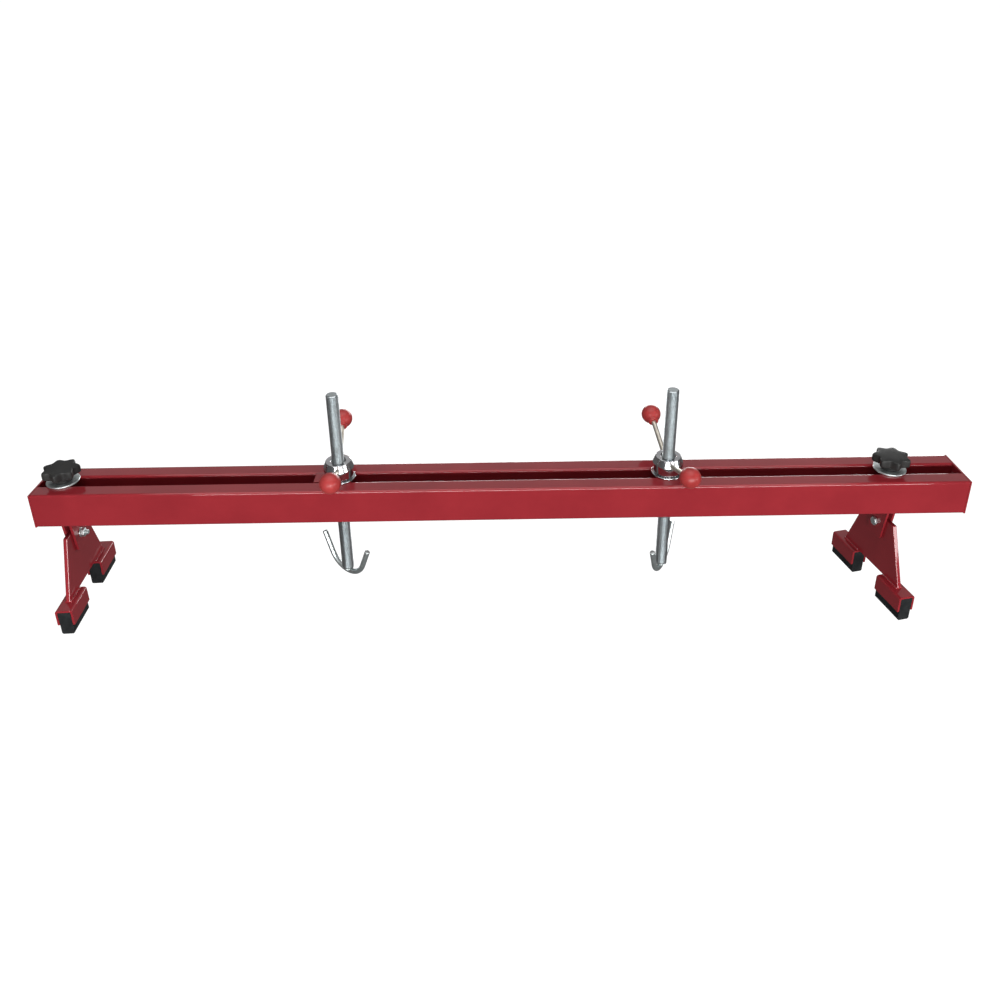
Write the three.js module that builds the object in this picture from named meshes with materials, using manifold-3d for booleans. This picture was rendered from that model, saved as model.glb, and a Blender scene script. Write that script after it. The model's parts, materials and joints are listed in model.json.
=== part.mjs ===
// Engine support bar: two parallel steel tubes with a slot between them, two sliding feet
// and two lifting stations, each a screw with a double hook under a nut with two levers.
// Millimetres, +Z up. X runs along the bar, Y across it. The origin lies on the floor under
// the middle of the bar.
import * as THREE from 'three';
import { mergeVertices } from 'three/addons/utils/BufferGeometryUtils.js';
import Module from 'manifold-3d';

// Clearances
const seatGap = 0.3;
const boreClearance = 0.15;
const overrun = 1;

// Bar: two rectangular tubes, a plate over each end and a cross plate outboard of each screw
const barLength = 1520;
const railWidth = 30;
const railHeight = 60;
const railWall = 2.5;
const railCornerRadius = 4;
const slotWidth = 28;
const endPlateThickness = 3;
const crossPlateLength = 30;
const crossPlateThickness = 6;
const crossPlateGap = 1;

// Feet: knob, washer and stud through the slot, bracket under the rails, leg on a bolt.
// A foot's inset is the distance from the end of the bar to its stud.
const leftFootInset = 38;
const rightFootInset = 116;
const leftFootYaw = THREE.MathUtils.degToRad(3);
const rightFootYaw = THREE.MathUtils.degToRad(12);
const clampWasherDiameter = 52;
const clampWasherThickness = 3;
const studDiameter = 12;
const studEndInset = 6;
const knobDiameter = 60;
const knobLobes = 7;
const knobLobeDepth = 7;
const knobSkirtHeight = 10;
const knobGripHeight = 12;
const knobCrownHeight = 2;
const knobEdgeRound = 2.5;
const knobSkirtDiameter = 32;
const leftKnobTurn = THREE.MathUtils.degToRad(14.5);
const rightKnobTurn = 0;
const knobInsertDiameter = 18;
const knobInsertHeight = 14;
const bracketPlateThickness = 4;
const bracketSideClearance = 0.5;
const bracketTopWidth = 52;
const bracketTipWidth = 34;
const bracketTipRadius = 5;
const bracketDrop = 66;
const pivotDrop = 40;
const pivotDiameter = 8;
const pivotHexAcrossFlats = 13;
const pivotHeadHeight = 5.3;
const pivotNutHeight = 6.5;
const pivotWasherDiameter = 16;
const pivotWasherThickness = 1.6;
const pivotThreadProud = 5;
const legThickness = 7;
const legTopWidth = 76;
const legBottomWidth = 152;
const legHeight = 99;
const legTopAbovePivot = 13;
const channelWidth = 28;
const channelHeight = 28;
const channelWall = 3.5;
const channelCornerRadius = 4;
const channelLength = 63;
const channelSpan = 194;
const padProud = 18;
const padChamfer = 2;
const padSideClearance = 0.3;

// Lifting stations: thrust washer, nut with two levers and balls, screw with a double hook
const leftStationX = -267;
const rightStationX = 275;
const leftLeverYaw = THREE.MathUtils.degToRad(4);
const rightLeverYaw = THREE.MathUtils.degToRad(6.3);
const leftHookYaw = THREE.MathUtils.degToRad(-37.8);
const rightHookYaw = THREE.MathUtils.degToRad(-119.1);
const screwDiameter = 20;
const screwTopAboveRail = 152;
const screwLength = 330;
const screwEndChamfer = 1.5;
const thrustWasherDiameter = 53;
const thrustWasherThickness = 2.6;
const nutHeight = 29;
const nutBaseDiameter = 46;
const nutWaistDiameter = 50;
const nutTopDiameter = 41;
const nutWaistStart = 14;
const nutWaistHeight = 4;
const nutCountersinkDepth = 3;
const nutCountersinkDiameter = 26;
const leverDiameter = 8;
const leverTilt = THREE.MathUtils.degToRad(20.2);
const leverRootRadius = 13;
const leverAxisHeight = 14.6;
const ballDiameter = 33;
const ballCentreRadius = 107;
const ballNeckDiameter = 17;
const ballNeckLength = 19;
const hookRodDiameter = 9;
const hookWeldHeight = 2.5;
const hookBendRadius = 40;
const hookArmLength = 38.4;
const hookArmLean = THREE.MathUtils.degToRad(66.5);

// Facets round a full turn, and steps along the bent rod
const fineFacets = 36;
const coarseFacets = 20;
const cornerFacets = 4;
const lobeFacets = 8;
const rodFacets = 12;
const rodSteps = 26;

// Heights above the floor that follow from the sizes above
const channelBottom = padProud;
const channelTop = channelBottom + channelHeight;
const legBottom = channelTop + seatGap;
const legTop = legBottom + legHeight;
const pivotHeight = legTop - legTopAbovePivot;
const railBottom = pivotHeight + pivotDrop;
const railTop = railBottom + railHeight;
const barDepth = slotWidth + railWidth + railWidth;
const leftFootX = leftFootInset - barLength / 2;
const rightFootX = barLength / 2 - rightFootInset;

const red = { color: 0xa52d36, roughness: 0.35, metalness: 0.1 };
const zinc = { color: 0x96a09e, roughness: 0.35, metalness: 0.9 };
const chrome = { color: 0xc8cacc, roughness: 0.1, metalness: 1 };
const blackPlastic = { color: 0x2c2d2e, roughness: 0.45, metalness: 0 };
const redPlastic = { color: 0xb43c3a, roughness: 0.4, metalness: 0 };
const rubber = { color: 0x232628, roughness: 0.85, metalness: 0 };

const wasm = await Module();
wasm.setup();

// A closed solid from a geometry whose faces may point in or out
function toSolid(geometry) {
  const bare = geometry.clone();
  bare.deleteAttribute('normal');
  bare.deleteAttribute('uv');
  const merged = mergeVertices(bare);
  const index = merged.index.array;
  const triangles = [];
  for (let i = 0; i < index.length; i += 3) {
    const [a, b, c] = [index[i], index[i + 1], index[i + 2]];
    if (a !== b && b !== c && c !== a) triangles.push(a, b, c);
  }
  const positions = merged.attributes.position;
  if (signedVolume(positions, triangles) < 0) triangles.reverse();
  return new wasm.Manifold(new wasm.Mesh({
    numProp: 3,
    vertProperties: new Float32Array(positions.array),
    triVerts: new Uint32Array(triangles),
  }));
}

// Six times the volume that the triangles enclose
function signedVolume(positions, triangles) {
  const [a, b, c] = [new THREE.Vector3(), new THREE.Vector3(), new THREE.Vector3()];
  let total = 0;
  for (let i = 0; i < triangles.length; i += 3) {
    a.fromBufferAttribute(positions, triangles[i]);
    b.fromBufferAttribute(positions, triangles[i + 1]);
    c.fromBufferAttribute(positions, triangles[i + 2]);
    total += a.dot(b.cross(c));
  }
  return total;
}

function toGeometry(solid) {
  const mesh = solid.getMesh();
  const geometry = new THREE.BufferGeometry();
  geometry.setAttribute('position', new THREE.BufferAttribute(mesh.vertProperties, mesh.numProp));
  geometry.setIndex(new THREE.BufferAttribute(mesh.triVerts, 1));
  geometry.computeVertexNormals();
  return geometry;
}

// A solid of revolution about Z from a closed outline of [radius, height] pairs
function turned(outline, facets) {
  const points = outline.map(([radius, height]) => new THREE.Vector2(radius, height));
  points.push(points[0].clone());
  return toSolid(new THREE.LatheGeometry(points, facets).rotateX(Math.PI / 2));
}

// A round bar from the origin along Z
function roundBar(diameter, length, facets) {
  return turned([[0, 0], [diameter / 2, 0], [diameter / 2, length], [0, length]], facets);
}

// An outline pushed along Z
function pushed(shape, length) {
  const options = { depth: length, bevelEnabled: false, curveSegments: cornerFacets };
  return new THREE.ExtrudeGeometry(shape, options);
}

function outlineOf(points) {
  return new THREE.Shape(points.map(([x, y]) => new THREE.Vector2(x, y)));
}

// A rectangle with round corners, centred on the origin
function roundedRectangle(width, height, radius, Kind = THREE.Shape) {
  const [x, y] = [width / 2 - radius, height / 2 - radius];
  const shape = new Kind();
  shape.absarc(x, y, radius, 0, Math.PI / 2);
  shape.absarc(-x, y, radius, Math.PI / 2, Math.PI);
  shape.absarc(-x, -y, radius, Math.PI, 1.5 * Math.PI);
  shape.absarc(x, -y, radius, 1.5 * Math.PI, 2 * Math.PI);
  shape.closePath();
  return shape;
}

function hexagon(acrossFlats) {
  const corner = acrossFlats / 2 / Math.cos(Math.PI / 6);
  const points = [];
  for (let i = 0; i < 6; i += 1) {
    const angle = i * Math.PI / 3;
    points.push([corner * Math.cos(angle), corner * Math.sin(angle)]);
  }
  return outlineOf(points);
}

function washer(diameter, thickness, bore, facets) {
  return turned([
    [bore / 2, 0], [diameter / 2, 0], [diameter / 2, thickness], [bore / 2, thickness],
  ], facets);
}

function piece(name, solid, finish) {
  const geometry = solid.isBufferGeometry ? solid : toGeometry(solid);
  const mesh = new THREE.Mesh(geometry, new THREE.MeshStandardMaterial(finish));
  mesh.name = name;
  return mesh;
}

// Turns a solid built along Z so that its length runs along X
function alongX(geometry) {
  return geometry.rotateY(Math.PI / 2);
}

// Bar

// A rail: tube of rounded section between the two end plates
function rail(name, side) {
  const section = roundedRectangle(railHeight, railWidth, railCornerRadius);
  const innerRadius = Math.max(railCornerRadius - railWall, seatGap);
  const innerHeight = railHeight - railWall - railWall;
  const innerWidth = railWidth - railWall - railWall;
  section.holes.push(roundedRectangle(innerHeight, innerWidth, innerRadius, THREE.Path));
  const length = barLength - 2 * (endPlateThickness + seatGap);
  const geometry = alongX(pushed(section, length).translate(0, 0, -length / 2));
  const mesh = piece(name, toSolid(geometry), red);
  mesh.position.set(0, side * (slotWidth + railWidth) / 2, railTop - railHeight / 2);
  return mesh;
}

function endPlate(name, side) {
  const geometry = new THREE.BoxGeometry(endPlateThickness, barDepth, railHeight);
  const mesh = piece(name, geometry, red);
  mesh.position.set(side * (barLength - endPlateThickness) / 2, 0, railTop - railHeight / 2);
  return mesh;
}

// A flat bar let in flush between the rails, just outboard of the screw beside it
function crossPlate(name, stationX) {
  const width = slotWidth - seatGap - seatGap;
  const geometry = new THREE.BoxGeometry(crossPlateLength, width, crossPlateThickness);
  const outward = Math.sign(stationX);
  const reach = screwDiameter / 2 + crossPlateGap + crossPlateLength / 2;
  const mesh = piece(name, geometry, red);
  mesh.position.set(stationX + outward * reach, 0, railTop - crossPlateThickness / 2);
  return mesh;
}

// Feet. Each foot's group stands on the floor under its stud, so its heights are above the floor

const bracketTop = railBottom - seatGap;
const bracketInnerWidth = legThickness + 2 * bracketSideClearance;
const bracketWidth = bracketInnerWidth + 2 * bracketPlateThickness;
const clampWasherBottom = railTop + seatGap;
const knobBottom = clampWasherBottom + clampWasherThickness + seatGap;
const knobHeight = knobSkirtHeight + knobGripHeight + knobCrownHeight;
const studTop = knobBottom + knobHeight - studEndInset;

// The lobed outline of the grip: a circle whose radius swells and dips once per lobe
function lobedOutline(inset) {
  const middle = (knobDiameter - knobLobeDepth) / 2 - inset;
  const count = knobLobes * lobeFacets;
  const points = [];
  for (let i = 0; i < count; i += 1) {
    const angle = 2 * Math.PI * i / count;
    const radius = middle + knobLobeDepth / 2 * Math.cos(knobLobes * angle);
    points.push([radius * Math.cos(angle), radius * Math.sin(angle)]);
  }
  return outlineOf(points);
}

// A star knob: round skirt below, lobed grip with a rounded edge, pocket for its insert
function knob(name) {
  const grip = new THREE.ExtrudeGeometry(lobedOutline(knobEdgeRound), {
    depth: knobGripHeight + knobCrownHeight - 2 * knobEdgeRound,
    bevelThickness: knobEdgeRound,
    bevelSize: knobEdgeRound,
    bevelSegments: 2,
    curveSegments: 1,
  }).translate(0, 0, knobSkirtHeight + knobEdgeRound);
  const skirt = roundBar(knobSkirtDiameter, knobSkirtHeight + overrun, coarseFacets);
  const pocket = roundBar(
    knobInsertDiameter + 2 * boreClearance, knobInsertHeight + seatGap + overrun, coarseFacets,
  ).translate([0, 0, -overrun]);
  const studHole = roundBar(
    studDiameter + 2 * boreClearance, studTop - knobBottom + seatGap + overrun, coarseFacets,
  ).translate([0, 0, -overrun]);
  const body = toSolid(grip).add(skirt).subtract(pocket).subtract(studHole);
  const mesh = piece(name, body, blackPlastic);
  mesh.position.z = knobBottom;
  return mesh;
}

// A round threaded bush moulded into the knob
function knobInsert(name) {
  const bore = studDiameter + 2 * boreClearance;
  const body = washer(knobInsertDiameter, knobInsertHeight, bore, coarseFacets);
  const mesh = piece(name, body, zinc);
  mesh.position.z = knobBottom;
  return mesh;
}

function clampWasher(name) {
  const bore = studDiameter + 2 * boreClearance;
  const body = washer(clampWasherDiameter, clampWasherThickness, bore, fineFacets);
  const mesh = piece(name, body, zinc);
  mesh.position.z = clampWasherBottom;
  return mesh;
}

// A stud that stands on the bracket and runs up through the slot into the knob
function clampStud(name) {
  const bottom = bracketTop + seatGap;
  const body = roundBar(studDiameter, studTop - bottom, coarseFacets);
  const mesh = piece(name, body, zinc);
  mesh.position.z = bottom;
  return mesh;
}

// An inverted U of folded plate: flat top against the rails, two ears that taper downwards
function bracket(name) {
  const [top, tip] = [bracketTopWidth / 2, bracketTipWidth / 2];
  const ear = new THREE.Shape();
  ear.moveTo(top, 0);
  ear.lineTo(tip, bracketTipRadius - bracketDrop);
  ear.absarc(tip - bracketTipRadius, bracketTipRadius - bracketDrop, bracketTipRadius,
    0, -Math.PI / 2, true);
  ear.absarc(bracketTipRadius - tip, bracketTipRadius - bracketDrop, bracketTipRadius,
    -Math.PI / 2, -Math.PI, true);
  ear.lineTo(-top, 0);
  const outside = toSolid(standing(pushed(ear, bracketWidth).translate(0, 0, -bracketWidth / 2)));
  const throat = new THREE.BoxGeometry(bracketInnerWidth, bracketTopWidth + 2 * overrun,
    bracketDrop).translate(0, 0, -bracketDrop / 2 - bracketPlateThickness);
  const hole = roundBar(pivotDiameter + 2 * boreClearance, bracketWidth + 2 * overrun, coarseFacets);
  const across = hole.rotate([0, 90, 0]);
  const centred = across.translate([-bracketWidth / 2 - overrun, 0, pivotHeight - bracketTop]);
  const mesh = piece(name, outside.subtract(toSolid(throat)).subtract(centred), red);
  mesh.position.z = bracketTop;
  return mesh;
}

// Stands an outline drawn in X and Y up across the bar: its X runs along Y, its Y along Z
function standing(geometry) {
  return geometry.rotateX(Math.PI / 2).rotateZ(Math.PI / 2);
}

// The leg: a trapezoid plate, narrow at the pivot and wide on the two channels
function legPlate(name) {
  const [top, bottom] = [legTopWidth / 2, legBottomWidth / 2];
  const outline = outlineOf([
    [-bottom, legBottom], [bottom, legBottom], [top, legTop], [-top, legTop],
  ]);
  const hole = new THREE.Path();
  hole.absarc(0, pivotHeight, pivotDiameter / 2 + boreClearance, 0, 2 * Math.PI);
  outline.holes.push(hole);
  const options = { depth: legThickness, bevelEnabled: false, curveSegments: coarseFacets };
  const geometry = new THREE.ExtrudeGeometry(outline, options).translate(0, 0, -legThickness / 2);
  return piece(name, toSolid(standing(geometry)), red);
}

const channelInnerWidth = channelWidth - 2 * channelWall;
const channelMiddle = (channelSpan - channelLength) / 2;

// An inverted channel of folded plate under one corner of the leg
function channel(name, side) {
  const outer = channelWidth / 2;
  const inner = channelInnerWidth / 2;
  const shoulder = channelTop - channelCornerRadius;
  const outline = new THREE.Shape();
  outline.moveTo(outer, channelBottom);
  outline.absarc(outer - channelCornerRadius, shoulder, channelCornerRadius, 0, Math.PI / 2);
  outline.absarc(channelCornerRadius - outer, shoulder, channelCornerRadius, Math.PI / 2, Math.PI);
  outline.lineTo(-outer, channelBottom);
  outline.lineTo(-inner, channelBottom);
  outline.lineTo(-inner, channelTop - channelWall);
  outline.lineTo(inner, channelTop - channelWall);
  outline.lineTo(inner, channelBottom);
  const geometry = pushed(outline, channelLength).rotateX(Math.PI / 2);
  geometry.translate(0, side * channelMiddle + channelLength / 2, 0);
  return piece(name, toSolid(geometry), red);
}

// A rubber block pushed up into the channel, its lower long edges cut back
function pad(name, side) {
  const half = channelInnerWidth / 2 - padSideClearance;
  const top = channelTop - channelWall - seatGap;
  const outline = outlineOf([
    [padChamfer - half, 0], [half - padChamfer, 0], [half, padChamfer], [half, top],
    [-half, top], [-half, padChamfer],
  ]);
  const geometry = pushed(outline, channelLength).rotateX(Math.PI / 2);
  geometry.translate(0, side * channelMiddle + channelLength / 2, 0);
  return piece(name, toSolid(geometry), rubber);
}

const pivotStackEnd = bracketWidth / 2 + seatGap;
const pivotNutStart = pivotStackEnd + pivotWasherThickness + seatGap;

// Hexagon bolt through both ears and the leg, its head on the -X side
function pivotBolt(name) {
  const head = pushed(hexagon(pivotHexAcrossFlats), pivotHeadHeight);
  const shankEnd = pivotNutStart + pivotNutHeight + pivotThreadProud;
  const shank = roundBar(pivotDiameter, shankEnd + pivotStackEnd + overrun, coarseFacets);
  const body = toSolid(head.translate(0, 0, -pivotStackEnd - pivotHeadHeight))
    .add(shank.translate([0, 0, -pivotStackEnd - overrun]));
  return alongPivot(name, body);
}

function pivotNut(name) {
  const bore = roundBar(pivotDiameter + 2 * boreClearance, pivotNutHeight + 2 * overrun, coarseFacets);
  const body = toSolid(pushed(hexagon(pivotHexAcrossFlats), pivotNutHeight))
    .subtract(bore.translate([0, 0, -overrun]));
  return alongPivot(name, body.translate([0, 0, pivotNutStart]));
}

function pivotWasher(name) {
  const bore = pivotDiameter + 2 * boreClearance;
  const body = washer(pivotWasherDiameter, pivotWasherThickness, bore, coarseFacets);
  return alongPivot(name, body.translate([0, 0, pivotStackEnd]));
}

function alongPivot(name, body) {
  const mesh = piece(name, body.rotate([0, 90, 0]), zinc);
  mesh.position.z = pivotHeight;
  return mesh;
}

function foot(prefix, x, yaw, knobTurn) {
  const group = new THREE.Group();
  group.position.x = x;
  group.rotation.z = yaw;
  const grip = knob(`${prefix}_knob`);
  grip.rotation.z = knobTurn;
  group.add(
    clampWasher(`${prefix}_clamp_washer`),
    grip,
    knobInsert(`${prefix}_knob_insert`),
    clampStud(`${prefix}_clamp_stud`),
    bracket(`${prefix}_bracket`),
    pivotBolt(`${prefix}_pivot_bolt`),
    pivotWasher(`${prefix}_pivot_washer`),
    pivotNut(`${prefix}_pivot_nut`),
    legPlate(`${prefix}_leg_plate`),
  );
  for (const [end, side] of [['front', -1], ['rear', 1]]) {
    group.add(channel(`${prefix}_${end}_foot_channel`, side));
    group.add(pad(`${prefix}_${end}_pad`, side));
  }
  return group;
}

// Lifting stations. Each station's group stands on top of the rails at its screw

const nutBottom = seatGap + thrustWasherThickness + seatGap;
const runningBore = screwDiameter + 2 * boreClearance;

function thrustWasher(name) {
  const body = washer(thrustWasherDiameter, thrustWasherThickness, runningBore, fineFacets);
  const mesh = piece(name, body, zinc);
  mesh.position.z = seatGap;
  return mesh;
}

// The space of a lever: a round bar from the root radius outwards, tilted up, in the YZ plane
function leverBar(diameter, from, to, side) {
  const bar = roundBar(diameter, to - from, rodFacets).translate([0, 0, from]);
  const tilt = 90 - THREE.MathUtils.radToDeg(leverTilt);
  return bar.rotate([-side * tilt, 0, 0]).translate([0, 0, leverAxisHeight]);
}

const leverEnd = ballCentreRadius / Math.cos(leverTilt);
const leverStart = leverRootRadius / Math.cos(leverTilt);

// The nut: a double cone, widest at a short waist, with a tilted hole for each lever
function liftNut(name) {
  const waistEnd = nutWaistStart + nutWaistHeight;
  const lip = nutCountersinkDiameter / 2;
  const blank = turned([
    [runningBore / 2, 0], [nutBaseDiameter / 2, 0], [nutWaistDiameter / 2, nutWaistStart],
    [nutWaistDiameter / 2, waistEnd], [nutTopDiameter / 2, nutHeight], [lip, nutHeight],
    [runningBore / 2, nutHeight - nutCountersinkDepth],
  ], fineFacets).translate([0, 0, nutBottom]);
  let body = blank;
  for (const side of [-1, 1]) {
    const hole = leverDiameter + 2 * boreClearance;
    body = body.subtract(leverBar(hole, leverStart - seatGap, nutWaistDiameter, side));
  }
  return piece(name, body, chrome);
}

function lever(name, side) {
  return piece(name, leverBar(leverDiameter, leverStart, leverEnd, side), chrome);
}

// A ball grip with a short neck towards the nut, bored for the lever
function ballGrip(name, side) {
  const radius = ballDiameter / 2;
  const neck = ballNeckDiameter / 2;
  const outline = [[0, -ballNeckLength], [neck, -ballNeckLength]];
  const joinShare = 0.3;
  for (let i = 0; i <= coarseFacets / 2; i += 1) {
    const turn = joinShare + (1 - joinShare) * i / (coarseFacets / 2);
    outline.push([radius * Math.sin(Math.PI * turn), -radius * Math.cos(Math.PI * turn)]);
  }
  outline[outline.length - 1][0] = 0;
  const ball = turned(outline, coarseFacets).translate([0, 0, leverEnd]);
  const tilt = 90 - THREE.MathUtils.radToDeg(leverTilt);
  const placed = ball.rotate([-side * tilt, 0, 0]).translate([0, 0, leverAxisHeight]);
  const hole = leverDiameter + 2 * boreClearance;
  const bore = leverBar(hole, leverEnd - ballNeckLength - overrun, leverEnd + seatGap, side);
  return piece(name, placed.subtract(bore), redPlastic);
}

// The screw, plain at its outer diameter, with a chamfer at the top
function liftScrew(name) {
  const radius = screwDiameter / 2;
  const bottom = screwTopAboveRail - screwLength;
  const body = turned([
    [0, bottom], [radius, bottom], [radius, screwTopAboveRail - screwEndChamfer],
    [radius - screwEndChamfer, screwTopAboveRail], [0, screwTopAboveRail],
  ], fineFacets);
  return piece(name, body, zinc);
}

// The line of the double hook's rod: arm, bend under the screw, arm, in the XZ plane
class HookLine extends THREE.Curve {
  getPoint(share, target = new THREE.Vector3()) {
    const bend = hookBendRadius * 2 * hookArmLean;
    const along = share * (bend + 2 * hookArmLength) - hookArmLength - bend / 2;
    const beyond = Math.max(Math.abs(along) - bend / 2, 0);
    const angle = Math.min(Math.abs(along), bend / 2) / hookBendRadius;
    const outward = hookBendRadius * Math.sin(angle) + beyond * Math.cos(hookArmLean);
    const upward = hookBendRadius * (1 - Math.cos(angle)) + beyond * Math.sin(hookArmLean);
    return target.set(Math.sign(along) * outward, 0, upward);
  }
}

// Round rod bent to a U with straight flared arms, with a weld that fills up to the screw's end
function doubleHook(name) {
  const section = new THREE.Shape();
  for (let i = 0; i < rodFacets; i += 1) {
    const angle = 2 * Math.PI * i / rodFacets;
    const [x, y] = [Math.cos(angle), Math.sin(angle)].map((part) => part * hookRodDiameter / 2);
    if (i === 0) section.moveTo(x, y);
    else section.lineTo(x, y);
  }
  section.closePath();
  const geometry = new THREE.ExtrudeGeometry(section, {
    steps: rodSteps,
    extrudePath: new HookLine(),
    bevelEnabled: false,
  });
  const seat = hookRodDiameter / 2 + hookWeldHeight;
  const weld = turned([
    [0, 0], [hookRodDiameter / 2, 0], [screwDiameter / 2, seat], [0, seat],
  ], coarseFacets);
  const mesh = piece(name, toSolid(geometry).add(weld), zinc);
  mesh.position.z = screwTopAboveRail - screwLength - seatGap - seat;
  return mesh;
}

function station(prefix, x, leverYaw, hookYaw) {
  const group = new THREE.Group();
  group.position.set(x, 0, railTop);
  const levers = new THREE.Group();
  levers.rotation.z = leverYaw;
  levers.add(liftNut(`${prefix}_lift_nut`));
  for (const [end, side] of [['front', -1], ['rear', 1]]) {
    levers.add(lever(`${prefix}_${end}_lever`, side));
    levers.add(ballGrip(`${prefix}_${end}_ball_grip`, side));
  }
  const hook = doubleHook(`${prefix}_double_hook`);
  hook.rotation.z = hookYaw;
  group.add(thrustWasher(`${prefix}_thrust_washer`), levers, liftScrew(`${prefix}_lift_screw`), hook);
  return group;
}

const supportBar = new THREE.Group();
supportBar.add(
  rail('front_rail', -1),
  rail('rear_rail', 1),
  endPlate('left_end_plate', -1),
  endPlate('right_end_plate', 1),
  crossPlate('left_cross_plate', leftStationX),
  crossPlate('right_cross_plate', rightStationX),
  foot('left', leftFootX, leftFootYaw, leftKnobTurn),
  foot('right', rightFootX, rightFootYaw, rightKnobTurn),
  station('left', leftStationX, leftLeverYaw, leftHookYaw),
  station('right', rightStationX, rightLeverYaw, rightHookYaw),
);

export default supportBar;
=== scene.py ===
import json
import math

import bmesh
import bpy
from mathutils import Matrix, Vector


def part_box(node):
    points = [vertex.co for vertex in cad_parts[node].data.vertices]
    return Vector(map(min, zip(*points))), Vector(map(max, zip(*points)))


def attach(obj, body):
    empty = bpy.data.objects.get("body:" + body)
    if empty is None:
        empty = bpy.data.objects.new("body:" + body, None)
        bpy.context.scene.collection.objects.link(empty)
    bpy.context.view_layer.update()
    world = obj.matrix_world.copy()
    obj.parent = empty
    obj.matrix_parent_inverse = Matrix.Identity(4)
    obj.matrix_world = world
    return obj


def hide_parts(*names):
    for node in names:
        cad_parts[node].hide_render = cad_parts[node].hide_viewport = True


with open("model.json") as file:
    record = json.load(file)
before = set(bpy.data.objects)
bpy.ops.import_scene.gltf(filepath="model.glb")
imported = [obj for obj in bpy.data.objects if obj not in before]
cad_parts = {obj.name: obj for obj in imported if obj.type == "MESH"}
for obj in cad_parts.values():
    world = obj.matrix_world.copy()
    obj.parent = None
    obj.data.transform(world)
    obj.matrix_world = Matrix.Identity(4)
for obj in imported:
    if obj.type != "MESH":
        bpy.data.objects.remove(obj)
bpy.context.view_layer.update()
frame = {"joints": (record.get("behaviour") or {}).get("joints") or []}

# Camera: at the photograph's angle, a little above the bar and in front of it.
# Its place, turn and lens come from the bar's edges, end corners and washers in the photograph.
mm = 0.001
rail_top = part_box("front_rail")[1][2]
camera_place = Vector((-3.1 * mm, -1233.2 * mm, rail_top + 746.0 * mm))
camera_yaw = math.radians(0.413)
camera_pitch = math.radians(22.724)
camera_roll = math.radians(-0.64)
focal_pixels = 861.7
frame_pixels = 1000
centre_pixel = (503.3, 346.8)

forward = Vector((
    math.sin(camera_yaw) * math.cos(camera_pitch),
    math.cos(camera_yaw) * math.cos(camera_pitch),
    -math.sin(camera_pitch),
))
level_right = Vector((math.cos(camera_yaw), -math.sin(camera_yaw), 0))
level_up = level_right.cross(forward)
right = math.cos(camera_roll) * level_right + math.sin(camera_roll) * level_up
up = math.cos(camera_roll) * level_up - math.sin(camera_roll) * level_right

bpy.ops.object.camera_add(location=camera_place)
camera = bpy.context.object
camera.name = "camera"
for row in range(3):
    for column, axis in enumerate((right, up, -forward)):
        camera.matrix_world[row][column] = axis[row]
camera.data.sensor_width = 36
camera.data.lens = focal_pixels / frame_pixels * camera.data.sensor_width
camera.data.shift_x = (frame_pixels / 2 - centre_pixel[0]) / frame_pixels
camera.data.shift_y = (centre_pixel[1] - frame_pixels / 2) / frame_pixels
camera.data.clip_end = 100
bpy.context.scene.camera = camera

# Studio: a pale paper floor that curves up into walls all round, and broad soft lights.
# It lies a little below the feet, because lowered hooks and rocked legs reach under them.
# It gives the bar no light and no reflection: in the photograph its metal is dark below.
floor_half = 9
floor_level = -0.15
backdrop_height = 12
backdrop_bend = 4
room_light = 0.13
paper_glow = 0.85
paper_colour = (0.3, 0.3, 0.3, 1)
lights = (  # name, place, point it faces, width and height, watts
    ("overhead_light", (0, -0.3, 3.2), (0, 0, 0), (3.6, 3.2), 74),
    ("front_light", (0.3, -3.6, 0.45), (0, 0, 0.15), (4.2, 0.7), 185),
    ("side_light", (3.4, -2.0, 0.45), (0.5, 0, 0.15), (1.4, 0.6), 30),
    ("rear_light", (0, 5, 3.6), (0, 0, 0.2), (9.0, 3.6), 38),
    ("back_light", (0.9, 4.5, 0.45), (0, 0, 0.15), (4.0, 0.7), 140),
    ("backdrop_light", (0, 3.5, 6), (0, 9, 3), (5.0, 3.0), 400),
)

bpy.context.scene.view_settings.view_transform = "Standard"
bpy.ops.object.select_all(action="DESELECT")
bpy.ops.mesh.primitive_plane_add(size=2 * floor_half, location=(0, 0, floor_level))
backdrop = bpy.context.object
backdrop.name = "studio_backdrop"
bpy.ops.object.mode_set(mode="EDIT")
bpy.ops.mesh.select_mode(type="EDGE")
bpy.ops.mesh.select_all(action="SELECT")
bpy.ops.mesh.extrude_edges_move(TRANSFORM_OT_translate={"value": (0, 0, backdrop_height)})
bpy.ops.mesh.select_all(action="DESELECT")
mesh = bmesh.from_edit_mesh(backdrop.data)
for edge in mesh.edges:
    edge.select_set(any(corner.co.z < backdrop_height / 2 for corner in edge.verts))
bmesh.update_edit_mesh(backdrop.data)
bpy.ops.mesh.bevel(offset=backdrop_bend, segments=16, affect="EDGES")
bpy.ops.object.mode_set(mode="OBJECT")
bpy.ops.object.shade_smooth()
paper = bpy.data.materials.new("backdrop_paper")
paper.use_nodes = True
paper_shader = paper.node_tree.nodes["Principled BSDF"]
paper_shader.inputs["Base Color"].default_value = paper_colour
paper_shader.inputs["Roughness"].default_value = 0.95
paper_shader.inputs["Specular IOR Level"].default_value = 0.1
paper_shader.inputs["Emission Color"].default_value = (1, 1, 1, 1)
paper_shader.inputs["Emission Strength"].default_value = paper_glow
backdrop.data.materials.append(paper)
backdrop.visible_diffuse = False
backdrop.visible_glossy = False

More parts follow.
